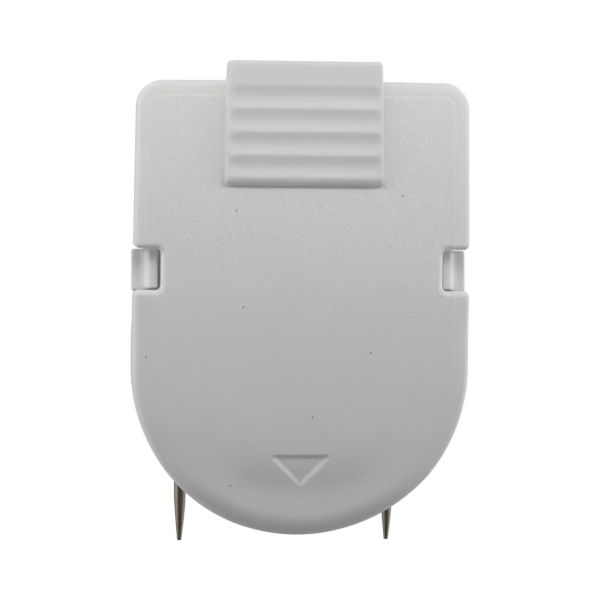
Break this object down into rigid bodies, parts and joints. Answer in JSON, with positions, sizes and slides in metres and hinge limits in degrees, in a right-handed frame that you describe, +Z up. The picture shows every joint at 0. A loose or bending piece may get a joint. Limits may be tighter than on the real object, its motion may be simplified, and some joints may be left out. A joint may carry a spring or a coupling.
{
  "type": "panel wall clip",
  "caption": "Sprung plastic clip for a fabric wall panel: a front lever with a ribbed thumb pad on a back plate, with two bent steel pins behind.",
  "frame": {"origin": "on the plane of the raised land that touches the wall panel, on the centre line, at hinge height", "axes": "+X right seen from the front, +Y into the wall panel, +Z up"},
  "size_m": [0.0384, 0.0208, 0.0541],
  "materials": {
    "plate_plastic": "smooth white moulded plastic",
    "lever_plastic": "white moulded plastic with a fine grained face and a smooth border and pad",
    "rod_steel": "plain drawn steel rod",
    "spring_steel": "bright spring wire",
    "pin_steel": "dark ground steel wire with a blunt point"
  },
  "bodies": {
    "base": {"base_plate": "plate_plastic", "hinge_rod": "rod_steel", "torsion_spring": "spring_steel", "left_pin": "pin_steel", "right_pin": "pin_steel"},
    "lever": {"front_lever": "lever_plastic"}
  },
  "joints": [
    {"name": "lever_hinge", "type": "hinge", "parent": "base", "child": "lever", "pos_m": [0, -0.0052, 0], "axis": [-1, 0, 0], "range_deg": [0, 19], "stiffness_Nm_per_rad": 0.02, "springref_deg": -40.11, "deforming": ["torsion_spring"]}
  ]
}
